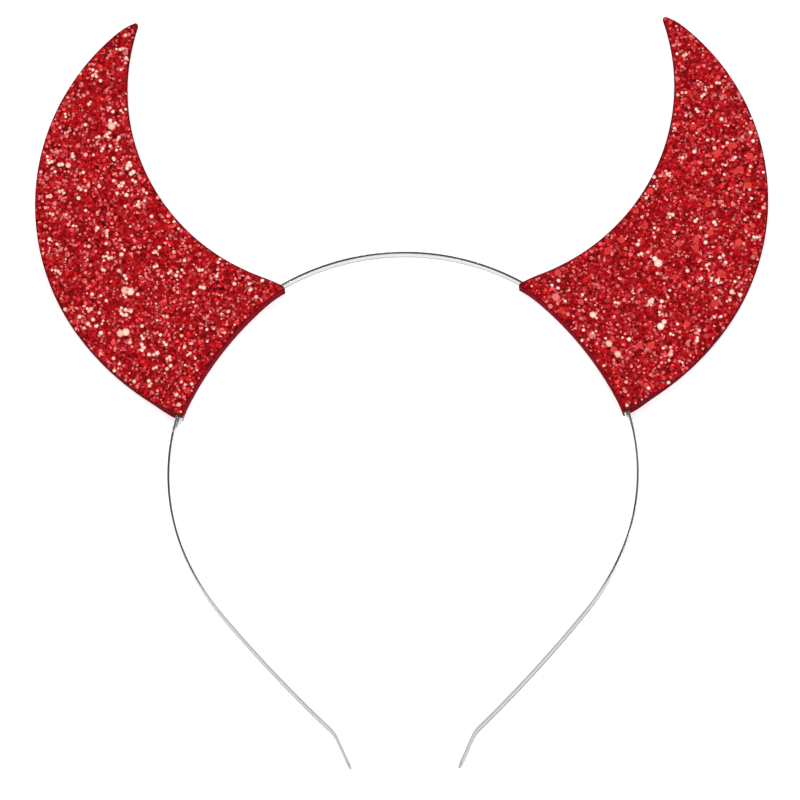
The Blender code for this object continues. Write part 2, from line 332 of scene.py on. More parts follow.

# %% [markdown]
# ## Nickel plate on spring steel
#
# Bright nickel is a pale grey mirror. The strip's UV map follows it in millimetres: u is the station, and v
# the way round, from the edge that looks up, down the inner side and over the lower edge. The outer side
# closes the ring, so v runs back along it, and both sides get the same tones. Three things change along and
# across the strip. The crown keeps its polish, and the legs, which rub against hair and hands, have gone
# satin, so that they mirror a wider part of the room and look paler. The drawing lines of the steel run
# lengthways. Real ones are finer than 0.1 mm, and these are 0.4 mm apart so that they show. Near the lower
# edge a dark grey line is painted into the plate's colour: painted shade, for the shaded floor under the
# strip that its sides mirror there.

# %% Nickel plate
RUBBED_FROM, RUBBED_TO = 130.0, 150.0
LINES_PER_MM, SMEARS_PER_MM = (0.05, 2.5, 1.0), (0.035, 0.3, 1.0)
SMEAR_LEVELS = {"From Min": 0.35, "From Max": 0.65}
POLISHED_ROUGHNESS = {"To Min": 0.10, "To Max": 0.22}
SATIN_ADDS = 0.37
LINE_DEPTH = 0.02
TONE_SPAN = 10.0
PLATE_TONES_AND_PAINTED_SHADE = (
    # shares of TONE_SPAN, the way round: the upper edge, the polished sides, and painted shade at the lower
    # edge
    (0.0, "#ACACAC"),
    (0.07, "#ACACAC"),
    (0.085, "#CCCCCC"),
    (0.38, "#CACACA"),
    (0.46, "#202020"),
)
nickel, tree, shader = new_material("bright_nickel_plate_on_drawn_spring_steel", Metallic=1.0)
run = add(tree, "UVMap", uv_map="along_the_strip")
lines = add(tree, "Mapping", {"Vector": run.outputs["UV"], "Scale": LINES_PER_MM})
drawn = add(
    tree, "TexNoise", {"Vector": lines.outputs["Vector"], "Scale": 1.0, "Detail": 3.0}, noise_dimensions="2D"
)
smears = add(tree, "Mapping", {"Vector": run.outputs["UV"], "Scale": SMEARS_PER_MM})
cloud = add(
    tree, "TexNoise", {"Vector": smears.outputs["Vector"], "Scale": 1.0, "Detail": 4.0}, noise_dimensions="2D"
)
polish = add(tree, "MapRange", {"Value": cloud.outputs["Fac"], **SMEAR_LEVELS, **POLISHED_ROUGHNESS})
split = add(tree, "SeparateXYZ", {"Vector": run.outputs["UV"]})
far = add(tree, "Math", {0: split.outputs["X"]}, operation="ABSOLUTE")
rubbed = add(
    tree, "MapRange", {"Value": far.outputs["Value"], "From Min": RUBBED_FROM, "From Max": RUBBED_TO},
    interpolation_type="SMOOTHSTEP",
)
satin = add(
    tree, "Math", {0: rubbed.outputs["Result"], 1: SATIN_ADDS, 2: polish.outputs["Result"]},
    operation="MULTIPLY_ADD",
)
tree.links.new(satin.outputs["Value"], shader.inputs["Roughness"])
way_round = add(tree, "Math", {0: split.outputs["Y"], 1: TONE_SPAN}, operation="DIVIDE")
# the ramp's dark last stop is painted shade along the strip's lower edge
tone = add(tree, "ValToRGB", {"Fac": way_round.outputs["Value"]}, stops=PLATE_TONES_AND_PAINTED_SHADE)
tree.links.new(tone.outputs["Color"], shader.inputs["Base Color"])
ridges = add(tree, "Bump", {"Height": drawn.outputs["Fac"], "Strength": 0.2, "Distance": LINE_DEPTH * MM})
tree.links.new(ridges.outputs["Normal"], shader.inputs["Normal"])

strip = put("polished_strip", strip_rings.reshape(-1, 3), np.concatenate([strip_faces, strip_caps]), [nickel])
corner_vertex = np.empty(len(strip.data.loops), np.int32)
strip.data.loops.foreach_get("vertex_index", corner_vertex)
ring_steps = np.linalg.norm(np.diff(strip_rings[rings // 2], axis=0), axis=-1)
round_way = np.concatenate([[0], np.cumsum(ring_steps)])
strip_uv = np.column_stack([strip_station[corner_vertex // sides], round_way[corner_vertex % sides]])
strip.data.uv_layers.new(name="along_the_strip").uv.foreach_set("vector", strip_uv.astype(np.float32).ravel())
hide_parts("headband_strip")

# %% [markdown]
# ## The horn's outline
#
# Each horn was cut with a die, so its edges are clean arcs. They are set out from the sleeve's upper mouth:
# `out` is square to the strip there, and `down` runs along it, away from the crown. The outer edge is a
# tight arc at the tip's beak, one long arc down the side, and a flatter one near the strip. The upper edge
# is a hollow arc from the tip, then a straight run to the mouth. A small circle rounds the tip.

# %% The horn's outline
MOUTH_STATION = 36.0
OUTER_RADIUS, OUTER_CENTRE = 66.2, (24.1, -7.4)
LOWER_RADIUS, LOWER_JOIN_TURN, LOWER_SWEEP = 78.0, 6.0, 40.0
BEAK_RADIUS, BEAK_JOIN_TURN = 17.6, 80.0
UPPER_RADIUS, UPPER_CENTRE, UPPER_RUN_TURN = 59.5, (43.7, -41.7), 56.0
TIP_RADIUS = 0.8
EDGE_POINTS = 400


def turned(direction, degrees):
    """A plan direction turned anticlockwise: (c x - s y, s x + c y)."""
    c, s = math.cos(math.radians(degrees)), math.sin(math.radians(degrees))
    x, y = direction[..., 0], direction[..., 1]
    return np.stack([c * x - s * y, s * x + c * y], axis=-1)


def meeting(centre_a, radius_a, centre_b, radius_b):
    """Where two circles meet, on the left of the way from the first centre to the second."""
    apart = np.hypot(*(centre_b - centre_a))
    way = (centre_b - centre_a) / apart
    ahead = (apart**2 + radius_a**2 - radius_b**2) / (2 * apart)
    return centre_a + ahead * way + math.sqrt(radius_a**2 - ahead**2) * turned(way, 90)


def arc(centre, start, end, shares):
    """Points at shares of the way round a circle from one of its points to another, the short way."""
    first, last = start - centre, end - centre
    turn = math.atan2(first[0] * last[1] - first[1] * last[0], first @ last)
    angle = math.atan2(first[1], first[0]) + turn * shares
    return centre + np.hypot(*first) * np.stack([np.cos(angle), np.sin(angle)], axis=-1)


mouth, out = along(MOUTH_STATION)
down = turned(out, -90)
outer_centre = mouth + OUTER_CENTRE[0] * out + OUTER_CENTRE[1] * down
upper_centre = mouth + UPPER_CENTRE[0] * out + UPPER_CENTRE[1] * down
beak_normal = turned(down, BEAK_JOIN_TURN)
beak_join = outer_centre + OUTER_RADIUS * beak_normal
beak_centre = beak_join - BEAK_RADIUS * beak_normal
tip_centre = meeting(upper_centre, UPPER_RADIUS + TIP_RADIUS, beak_centre, BEAK_RADIUS - TIP_RADIUS)
outer_touch = beak_centre + BEAK_RADIUS * unit(tip_centre - beak_centre)
upper_touch = upper_centre + UPPER_RADIUS * unit(tip_centre - upper_centre)

shares = np.linspace(0, 1, EDGE_POINTS)
join_normal = turned(down, -LOWER_JOIN_TURN)
outer_join = outer_centre + OUTER_RADIUS * join_normal
lower_centre = outer_join - LOWER_RADIUS * join_normal
lower_start = lower_centre + LOWER_RADIUS * turned(join_normal, -LOWER_SWEEP)
lower_arc = arc(lower_centre, lower_start, outer_join, shares)
side_arc = arc(outer_centre, outer_join, beak_join, shares)
outer_line = np.vstack([lower_arc, side_arc, arc(beak_centre, beak_join, outer_touch, shares)])

run_way = turned(down, UPPER_RUN_TURN)
run_normal = turned(run_way, -90)
run_end = upper_centre + UPPER_RADIUS * run_normal
straight_run = run_end + np.outer(shares - 1, run_way) * np.hypot(*(run_end - mouth))
upper_line = np.vstack([straight_run, arc(upper_centre, run_end, upper_touch, shares)])


def inside_upper(points):
    """How far points near the strip are inside the upper edge: beside its straight run, then off its arc."""
    beside_run = (points - run_end) @ run_normal
    off_arc = np.linalg.norm(points - upper_centre, axis=-1) - UPPER_RADIUS
    return np.where((points - run_end) @ run_way < 0, beside_run, off_arc)


def outside_lower(points):
    """How far points near the strip are outside the lower arc of the outer edge."""
    return np.linalg.norm(points - lower_centre, axis=-1) - LOWER_RADIUS


print("tip of the right horn at:", (tip_centre + TIP_RADIUS * unit(tip_centre - beak_centre)).round(1))

# %% [markdown]
# ## One ply of cloth
#
# A ply is a sheet 1 mm thick. Along its foot it wraps the strip: it stands beside it, turns over its edge,
# runs level, and eases down to lie against the other ply. That is a profile carried along the strip. Beyond
# the foot it is a fan of rows that narrows to the tip. All of it is one grid, rows by columns, with the
# columns crowded near the two cut edges, where the press that bonds the glitter leaves the cloth's upper
# corner round.

# %% The ply's surface
PLY_THICKNESS, GLUE_GAP, FIT_GAP = 1.0, 0.3, 0.3
SLEEVE_INNER_RADIUS, SLEEVE_TOP_WIDTH, FADE_LENGTH = 0.5, 1.2, 8.4
WALL_STEPS, BEND_STEPS, FADE_STEPS, BODY_ROWS, TIP_ROWS = 4, 8, 16, 90, 8
TIP_FLAT = 0.4
EDGE_ROUND = 0.35
EDGE_COLUMNS = (0.0, 0.03, 0.1, 0.2, 0.35, 0.6, 1.2)
CROWDED_PART = 3
MIDDLE_COLUMNS = 40
SEARCH_POINTS = 4000


def sleeve_profile():
    """Rows across the strip: outer and inner side offsets, then their heights over the middle plane."""
    inner_top = STRIP_WIDTH / 2 + FIT_GAP
    seam = GLUE_GAP / 2
    inner_wall = -(STRIP_THICKNESS / 2 + FIT_GAP)
    centre = (inner_wall + SLEEVE_INNER_RADIUS, inner_top - SLEEVE_INNER_RADIUS)
    outer_radius = SLEEVE_INNER_RADIUS + PLY_THICKNESS
    wall = np.linspace(seam, centre[1], WALL_STEPS, endpoint=False)[:, None]
    wall_rows = np.hstack([wall * 0 + inner_wall - PLY_THICKNESS, wall * 0 + inner_wall, wall, wall])
    angle = np.radians(np.linspace(180, 90, BEND_STEPS + 1))[:, None]
    c, s = np.cos(angle), np.sin(angle)
    bend_rows = np.hstack([
        centre[0] + outer_radius * c, centre[0] + SLEEVE_INNER_RADIUS * c,
        centre[1] + outer_radius * s, centre[1] + SLEEVE_INNER_RADIUS * s,
    ])
    share = np.linspace(0, 1, FADE_STEPS + 1)[:, None]
    side = centre[0] + SLEEVE_TOP_WIDTH + FADE_LENGTH * share
    drop = (inner_top - seam) * (1 - np.cos(math.pi * share)) / 2
    fade_rows = np.hstack([side, side, inner_top + PLY_THICKNESS - drop, inner_top - drop])
    return np.vstack([wall_rows, bend_rows, fade_rows])


def column_shares(length):
    """Shares of the way across rows of these lengths: crowded within 1.2 mm of both ends, and even between.

    In a short row, the crowded part at each end is squeezed to a third of the row.
    """
    near = np.array(EDGE_COLUMNS) * np.minimum(1, length / (CROWDED_PART * EDGE_COLUMNS[-1]))[:, None]
    near = near / length[:, None]
    even = np.linspace(0, 1, MIDDLE_COLUMNS + 1)[1:-1]
    middle = near[:, -1:] + (1 - 2 * near[:, -1:]) * even
    return np.hstack([near, middle, 1 - near[:, ::-1]])


def crossing(station, values):
    """Per row, the station at which its values first turn positive, found on the line between two samples."""
    first = np.argmax(values > 0, axis=1)
    row = np.arange(len(values))
    before = np.maximum(first - 1, 0)
    low, high = values[row, before], values[row, first]
    part = np.where(first > 0, -low / np.where(high == low, 1, high - low), 0)
    return station[before] + part * (station[first] - station[before])


def foot_grid(sides):
    """Points of the foot's rows, each at a fixed side offset, between where the row crosses the two edges."""
    station = np.linspace(MOUTH_STATION, END_STATION, SEARCH_POINTS)
    points, _ = along(station[None], sides[:, None])
    first, last = crossing(station, inside_upper(points)), crossing(station, outside_lower(points))
    share = column_shares(last - first)
    edge = np.minimum(share, 1 - share) * (last - first)[:, None]
    return along(first[:, None] + share * (last - first)[:, None], sides[:, None])[0], edge


def resampled(line, start, share):
    """Points at shares of the way along a line of points, after it is cut off where it passes `start`."""
    nearest = np.argmin(np.linalg.norm(line - start, axis=-1))
    line = np.vstack([start, line[nearest + 1 :]])
    gone = np.concatenate([[0.0], np.cumsum(np.linalg.norm(np.diff(line, axis=0), axis=-1))])
    return np.column_stack([np.interp(share * gone[-1], gone, axis) for axis in line.T])


def body_grid(foot):
    """Rows from the foot to the tip: chords between the edges, plus the foot's bow.

    The bow fades as (1 - s)^2, where s is the share of the way to the tip.
    """
    span = foot[-1] - foot[0]
    foot_share = (foot - foot[0]) @ span / (span @ span)
    bow = (foot - foot[0]) @ turned(span, 90) / (span @ span)
    share = np.arange(1, BODY_ROWS + 1) / BODY_ROWS
    outer_ends, upper_ends = resampled(outer_line, foot[-1], share), resampled(upper_line, foot[0], share)
    chord = outer_ends - upper_ends
    length = np.linalg.norm(chord, axis=-1)
    across = column_shares(length)
    bowed = np.interp(across, foot_share, bow) * ((1 - share) ** 2)[:, None]
    bow_out = bowed[..., None] * turned(chord, 90)[:, None]
    points = upper_ends[:, None] + across[..., None] * chord[:, None] + bow_out
    return points, np.minimum(across, 1 - across) * length[:, None]


def tip_grid():
    """Rows that close the horn round its tip's circle, the last one nearly a point."""
    peak = tip_centre + TIP_RADIUS * unit((outer_touch + upper_touch) / 2 - tip_centre)
    share = np.arange(1, TIP_ROWS + 1) / (TIP_ROWS + TIP_FLAT)
    outer_ends = arc(tip_centre, outer_touch, peak, share)
    upper_ends = arc(tip_centre, upper_touch, peak, share)
    chord = outer_ends - upper_ends
    across = column_shares(np.linalg.norm(chord, axis=-1))
    points = upper_ends[:, None] + across[..., None] * chord[:, None]
    return points, TIP_RADIUS - np.linalg.norm(points - tip_centre, axis=-1)


def ply_grids():
    """The right front ply's outer and inner surfaces over the middle plane, and distances to the edge.

    The outer surface is let down by r - sqrt(r^2 - (r-d)^2), a quarter circle, where the distance d is under r.
    """
    outer_side, inner_side, outer_height, inner_height = sleeve_profile().T
    outer_foot, edge = foot_grid(outer_side)
    inner_foot, _ = foot_grid(inner_side)
    body, body_edge = body_grid(outer_foot[-1])
    tip, tip_edge = tip_grid()
    flat = np.concatenate([body, tip])
    rise = np.concatenate([outer_height, np.full(len(flat), outer_height[-1])])
    fall = np.concatenate([inner_height, np.full(len(flat), inner_height[-1])])
    outer, inner = np.concatenate([outer_foot, flat]), np.concatenate([inner_foot, flat])
    edge = np.maximum(np.concatenate([edge, body_edge, tip_edge]), 0)
    outer, inner = (
        np.concatenate([plan, np.broadcast_to(height[:, None, None], (*plan.shape[:2], 1))], axis=-1)
        for plan, height in ((outer, rise), (inner, fall))
    )
    inset = EDGE_ROUND - np.minimum(edge, EDGE_ROUND)
    drop = EDGE_ROUND - np.sqrt(EDGE_ROUND**2 - inset**2)
    return outer - drop[..., None] * unit(outer - inner), inner, edge


ply_outer, ply_inner, ply_edge = ply_grids()
print("ply grid, rows by columns:", ply_edge.shape)

# %% [markdown]
# ## Glitter ground and cut felt
#
# Glitter cloth is thin felt with a layer of clear resin, in which two or three sizes of foil are bedded.
# The larger flakes come later as real geometry. The finest are a pattern, drawn at 0.8 mm because real grit
# is too fine to show. A Voronoi texture splits the surface into cells. Its random colour picks each cell's
# red, and tips the surface's direction by a different amount in every cell, so that each grain catches
# other light.
#
# Along the die's cut, on the cut wall and on the face within 0.45 mm of it, the cloth is a dark maroon with a
# nap of fibres. A fibre is about 0.02 mm thick, so they are drawn as tufts of 0.3 mm. Where the cloth folds
# over the strip, its dull finish stands for resin and grit worn down, and its darker red is painted shade,
# for the fold that turns away from the light. The plies' inner faces are plain red felt.

# %% Glitter ground
GRAIN = 0.80
GRAIN_LEAN = 0.6
GRAIN_REDS = ((0.0, "#420006"), (0.4, "#74040A"), (0.75, "#960E14"), (1.0, "#B82A2E"))
# the fold's darker reds are painted shade, for the fold turning away from the light
FOLD_REDS_WITH_PAINTED_SHADE = ((0.0, "#5C0212"), (1.0, "#8A081A"))


def gritty(tree, shader, reds):
    """Colours a surface grain by grain, each with a red from the ramp. Gives each grain's random colour."""
    place = add(tree, "TexCoord")
    grains = add(
        tree, "TexVoronoi", {"Vector": place.outputs["Object"], "Scale": 1 / (GRAIN * MM), "Randomness": 1.0}
    )
    tint = add(tree, "SeparateColor", {"Color": grains.outputs["Color"]})
    ramp = add(tree, "ValToRGB", {"Fac": tint.outputs["Red"]}, stops=reds)
    tree.links.new(ramp.outputs["Color"], shader.inputs["Base Color"])
    return grains.outputs["Color"]


ground, tree, shader = new_material(
    "clear_resin_with_fine_red_foil_grit", Metallic=0.35, Roughness=0.38, Specular_IOR_Level=0.05
)
chance = gritty(tree, shader, GRAIN_REDS)
centred = add(tree, "VectorMath", {0: chance, 1: (0.5, 0.5, 0.5)}, operation="SUBTRACT")
tipped = add(tree, "VectorMath", {0: centred.outputs["Vector"], "Scale": GRAIN_LEAN}, operation="SCALE")
facing = add(tree, "NewGeometry")
leant = add(tree, "VectorMath", {0: facing.outputs["Normal"], 1: tipped.outputs["Vector"]}, operation="ADD")
facet = add(tree, "VectorMath", {0: leant.outputs["Vector"]}, operation="NORMALIZE")
tree.links.new(facet.outputs["Vector"], shader.inputs["Normal"])
print("grain size in mm:", GRAIN)

# %% Cut felt
FIBRE_TUFT, NAP_DEPTH = 0.3125, 0.12
felt, tree, shader = new_material("die_cut_edge_of_maroon_felt", Roughness=0.95, Specular_IOR_Level=0.2)
place = add(tree, "TexCoord")
tufts = {"Vector": place.outputs["Object"], "Scale": 1 / (FIBRE_TUFT * MM), "Detail": 4.0, "Distortion": 1.5}
fibres = add(tree, "TexNoise", tufts)
wool = add(tree, "ValToRGB", {"Fac": fibres.outputs["Fac"]}, stops=((0.3, "#34000B"), (0.7, "#600616")))
tree.links.new(wool.outputs["Color"], shader.inputs["Base Color"])
nap = add(tree, "Bump", {"Height": fibres.outputs["Fac"], "Strength": 0.6, "Distance": NAP_DEPTH * MM})
tree.links.new(nap.outputs["Normal"], shader.inputs["Normal"])

# %% Worn fold with painted shade, and inner felt
fold, tree, shader = new_material(
    "resin_and_grit_worn_on_the_fold_with_painted_shade", Roughness=0.8, Specular_IOR_Level=0.02
)
gritty(tree, shader, FOLD_REDS_WITH_PAINTED_SHADE)
lining = new_material(
    "inner_face_of_red_felt", Base_Color=linear("#A8121E"), Roughness=0.95, Specular_IOR_Level=0.2
)[0]
print("materials of a ply:", ", ".join(made.name for made in (ground, felt, fold, lining)))

# %% The four plies
CUT_WIDTH = 0.45
FOLD_ROWS = WALL_STEPS + BEND_STEPS // 2


def border_of(index):
    """Point numbers round a grid's border, each followed by the next, and back to the first."""
    return np.concatenate([index[0, :], index[1:, -1], index[-1, -2::-1], index[-2:0:-1, 0]])


def ply_piece(name, side, face):
    """One ply from the two grids: side -1 mirrors it to the left horn, and face -1 to the back.

    Its material slots are 0 for the glitter ground, 1 for cut felt, 2 for the worn fold, whose darker red is
    painted shade, and 3 for the inner face.
    """
    mirror = np.array([side, 1, face])
    outer, inner = ply_outer * mirror, ply_inner * mirror
    points = np.concatenate([outer.reshape(-1, 3), inner.reshape(-1, 3)]) + [0, 0, MIDDLE_HEIGHT]
    count = ply_edge.size
    index = np.arange(count).reshape(ply_edge.shape)
    top, border = quads(index), border_of(index)
    rim = np.column_stack([border, np.roll(border, -1), np.roll(border, -1) + count, border + count])
    faces = np.concatenate([top, top[:, ::-1] + count, rim])
    cut = ply_edge.ravel()[top].mean(axis=1) < CUT_WIDTH
    folded = top[:, 0] < FOLD_ROWS * ply_edge.shape[1]
    outside = np.where(cut, 1, np.where(folded, 2, 0))
    slots = np.concatenate([outside, np.full(len(top), 3), np.ones(len(rim))])
    cloth = put(name, points, faces, [ground, felt, fold, lining], slots.astype(np.int32))
    return cloth, outer + [0, 0, MIDDLE_HEIGHT]


cloths = {}
for side_name, side in (("right", 1), ("left", -1)):
    for face_name, face in (("front", 1), ("back", -1)):
        cloth, surface = ply_piece(f"{side_name}_{face_name}_cloth", side, face)
        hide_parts(f"{side_name}_horn_{face_name}")
        cloths[side_name, face_name] = (cloth, surface, -side * face)

# %% [markdown]
# ## Glitter
#
# Each flake of glitter is a hexagon cut from lacquered polyester foil, because hexagons waste no foil. It
# lands in the wet resin at random and lies nearly flat, and it is the few degrees of lean that make it
# flash. The mix has fine and coarse red foil, some large orange-red flakes, and pale pearl ones that lie on
# top and stay bright from every side. A picture of glitter can't do that, so these are real hexagons,
# thousands to a ply, each bedded on a point below it. Their places are drawn at random over the surface by
# area, and then the resin draws some of the pearl ones together. The steep wall of the fold has none. All
# their numbers go in as whole arrays. The pearl flakes are pale, and their steady brightness is partly
# painted glints; the large ones are painted glare.

# %% Scatter the glitter
FLAKE_CORNERS = 6
FLAKE_KINDS = {
    # across the corners in mm, its spread, cover of the left and the right horn, lean in degrees, height in
    # mm, and the share that lies next to another
    "fine": (0.78, 0.18, (0.80, 0.80), 11.0, 0.00, 0.0),
    "coarse": (1.15, 0.15, (0.25, 0.25), 9.0, 0.03, 0.0),
    "orange": (2.10, 0.12, (0.004, 0.030), 3.0, 0.10, 0.0),
    "pearl": (1.00, 0.20, (0.048, 0.028), 4.0, 0.22, 0.5),
    # the large pale flakes are painted glare
    "large_pearl_painted_glare": (1.90, 0.25, (0.006, 0.006), 2.0, 0.27, 0.4),
}
FLAKE_BED = 0.16
FLAKE_SIZES = (0.6, 1.5)
EDGE_MARGIN, RADIUS_INSIDE = 0.25, 0.6
LEVEL_ENOUGH = 0.88
CLUMP_REACH = 0.85
FLAT_TO = 0.01
LEAST_LIFT, MORE_LIFT, LEAN_LIFT = 0.02, 0.05, 0.5
FLAKE_POINTS = FLAKE_CORNERS + 2
FLAKE_TOP = [(k, (k + 1) % FLAKE_CORNERS, FLAKE_CORNERS) for k in range(FLAKE_CORNERS)]
FLAKE_BELOW = [(k, FLAKE_CORNERS + 1, (k + 1) % FLAKE_CORNERS) for k in range(FLAKE_CORNERS)]
FLAKE_PATTERN = np.array(FLAKE_TOP + FLAKE_BELOW)
MAP_RADIUS = 0.2


def surface_points(rng, surface, count_for_area):
    """Points drawn at random over a grid's surface by area, with their normals and distances to the cut edge.

    A triangle is drawn with a chance in proportion to its area. The weight of its first corner is 1 - sqrt(a),
    which spreads the points in it evenly.
    """
    flat = surface.reshape(-1, 3)
    index = np.arange(len(flat)).reshape(surface.shape[:2])
    cells = quads(index)
    triangles = np.concatenate([cells[:, [0, 1, 2]], cells[:, [0, 2, 3]]])
    a, b, c = (flat[triangles[:, k]] for k in range(3))
    cross = np.cross(b - a, c - a)
    area = np.linalg.norm(cross, axis=-1) / 2
    count = count_for_area(area.sum())
    drawn = np.searchsorted(np.cumsum(area) / area.sum(), rng.random(count))
    s, t = np.sqrt(rng.random(count)), rng.random(count)
    weights = np.column_stack([1 - s, s * (1 - t), s * t])
    corners = triangles[drawn]
    points = np.einsum("ij,ijk->ik", weights, flat[corners])
    edge = np.einsum("ij,ij->i", weights, ply_edge.ravel()[corners])
    return points, unit(cross[drawn]), edge


def clumped(rng, surface, points, edge, share, reach):
    """Moves a share of the flakes on the horn's flat part next to another one, as wet resin draws them."""
    flat = np.flatnonzero(np.abs(points[:, 2] - np.median(surface[..., 2])) < FLAT_TO)
    moved = flat[rng.random(len(flat)) < share]
    partner = rng.choice(flat, len(moved))
    bearing = 2 * math.pi * rng.random(len(moved))
    way = np.stack([np.cos(bearing), np.sin(bearing), 0 * bearing], axis=-1)
    points[moved] = points[partner] + reach * way
    edge[moved] = edge[partner] - reach


def flakes_on(rng, surface, flip, across, spread, cover, lean, height, clumps):
    """For each flake of one kind: its centre, bed point, radius, and two directions in its plane.

    A hexagon d across its corners has an area of 3 sqrt(3) / 8 d^2. A flake stays inside the cut edge by a
    margin and a share of its radius, and the more it leans, the higher it lies.
    """
    hexagon = 3 * math.sqrt(3) / 8 * across**2
    points, normal, edge = surface_points(rng, surface, lambda area: int(cover * area / hexagon))
    clumped(rng, surface, points, edge, clumps, CLUMP_REACH * across)
    normal = normal * flip
    radius = across / 2 * np.clip(rng.normal(1, spread, len(points)), *FLAKE_SIZES)
    keep = (edge > EDGE_MARGIN + RADIUS_INSIDE * radius) & (np.abs(normal[:, 2]) > LEVEL_ENOUGH)
    points, normal, radius = points[keep], normal[keep], radius[keep]
    level = unit(np.cross(normal, rng.normal(size=normal.shape)))
    tilt = np.tan(np.radians(lean)) * rng.normal(size=len(points))[:, None]
    facing = unit(normal + tilt * level)
    first = unit(np.cross(facing, rng.normal(size=facing.shape)))
    lift = height + LEAST_LIFT + MORE_LIFT * rng.random(len(points)) + LEAN_LIFT * radius * np.abs(tilt[:, 0])
    centre, bed = points + lift[:, None] * normal, points - FLAKE_BED * normal
    return centre, bed, radius, first, np.cross(facing, first)


def flake_mesh(centre, bed, radius, first, second):
    """Points and triangles of all flakes: six corners, a middle and a bed, with six triangles to each."""
    angle = np.linspace(0, 2 * math.pi, FLAKE_CORNERS, endpoint=False)
    ring = np.cos(angle)[:, None] * first[:, None] + np.sin(angle)[:, None] * second[:, None]
    corners = centre[:, None] + radius[:, None, None] * ring
    points = np.concatenate([corners, centre[:, None], bed[:, None]], axis=1)
    faces = np.arange(len(centre))[:, None, None] * FLAKE_POINTS + FLAKE_PATTERN
    return points.reshape(-1, 3), faces.reshape(-1, 3)


def flake_map(count):
    """A place on the unit square for each face corner of each flake, so that its colour can be baked.

    Flake n has the cell (n mod side, n div side) of a square grid. Its top takes the cell's left half, and what
    is below it the right half, each as a small hexagon round the half's middle.
    """
    side = math.ceil(math.sqrt(count))
    cell = np.stack([np.arange(count) % side, np.arange(count) // side], axis=-1)
    angle = np.radians(60.0 * np.arange(FLAKE_CORNERS))
    hexagon = np.vstack([MAP_RADIUS * np.stack([np.cos(angle), np.sin(angle)], axis=-1), np.zeros((2, 2))])
    half = np.where(np.arange(len(FLAKE_PATTERN)) < len(FLAKE_TOP), 0.25, 0.75)
    middle = np.stack([half, np.full(len(half), 0.5)], axis=-1)
    return ((cell[:, None, None] + middle[:, None] + hexagon[FLAKE_PATTERN]) / side).reshape(-1, 2)


print("faces to a flake:", len(FLAKE_PATTERN))

# %% [markdown]
# ## Lacquered foil and pearl film
#
# The red foil is aluminised polyester under red lacquer, so it mirrors light in red. Some of the light goes
# through the lacquer and scatters, which keeps a flake red when it faces nothing bright. The lacquer's own
# white gloss is set low, because in a room this bright it would veil the red. In its place, the palest pink
# among the foil's shades is partly a tone of its own and partly painted sheen. The orange and the pearl
# flakes are film with pigment all through, so they scatter most of their light. Each flake has a shade of
# its own, kept in an attribute of the mesh. A pearl flake's shade runs from pale in the middle to pink at
# the corners, a painted falloff of its glint.

# %% Lacquered foil and pearl film
# the palest pink, #D67370, is partly painted sheen, in place of the lacquer's white gloss
FINE_REDS_WITH_PAINTED_SHEEN = {"#840208": 0.20, "#A0050D": 0.28, "#B60F18": 0.20, "#C63A3E": 0.15, "#D67370": 0.17}
COARSE_REDS_WITH_PAINTED_SHEEN = {"#840208": 0.14, "#A0050D": 0.32, "#B60F18": 0.32, "#C63A3E": 0.15, "#D67370": 0.07}
ORANGE_FILM = {"#CE2A1C": 0.5, "#C4201A": 0.5}
# pale pearl shades: pale flakes whose steady brightness is partly painted glints
PEARL_FILM_AND_PAINTED_GLINTS = {"#FFF4E4": 0.35, "#FFE6D2": 0.35, "#F6C8B2": 0.30}
FLAKE_FINISH = {
    # each kind's shades with their shares, how much of a shade its rim keeps against the painted falloff to
    # pink, and its material, 0 for foil or 1 for film
    "fine": (FINE_REDS_WITH_PAINTED_SHEEN, 1.0, 0),
    "coarse": (COARSE_REDS_WITH_PAINTED_SHEEN, 1.0, 0),
    "orange": (ORANGE_FILM, 0.85, 1),
    "pearl": (PEARL_FILM_AND_PAINTED_GLINTS, 0.30, 1),
    "large_pearl_painted_glare": (PEARL_FILM_AND_PAINTED_GLINTS, 0.45, 1),
}
# the pink that a flake's rim fades to, a painted falloff round a glint
RIM_TINT_FOR_PAINTED_FALLOFF = linear("#C8444A")
foil_and_film = []
for name, metallic, gloss in (
    ("red_lacquered_aluminised_polyester_foil", 0.42, 0.08),
    ("pearl_pigmented_polyester_film", 0.0, 0.5),
):
    made, tree, shader = new_material(name, Metallic=metallic, Roughness=0.28, Specular_IOR_Level=gloss)
    shade = add(tree, "Attribute", attribute_name="flake_shade", attribute_type="GEOMETRY")
    tree.links.new(shade.outputs["Color"], shader.inputs["Base Color"])
    foil_and_film.append(made)


def shades_for(rng, finish, rim_share, count):
    """Linear colours for the points of so many flakes: a drawn shade, faded to red at rim and bed, a painted
    falloff.
    """
    colours = np.array([linear(code) for code in finish])
    middle = colours[rng.choice(len(colours), count, p=list(finish.values()))][:, None]
    share = np.array([rim_share] * FLAKE_CORNERS + [1.0, rim_share])[:, None]
    return share * middle + (1 - share) * RIM_TINT_FOR_PAINTED_FALLOFF


print("reds of the foil:", len(FINE_REDS_WITH_PAINTED_SHEEN), " pearl shades:", len(PEARL_FILM_AND_PAINTED_GLINTS))

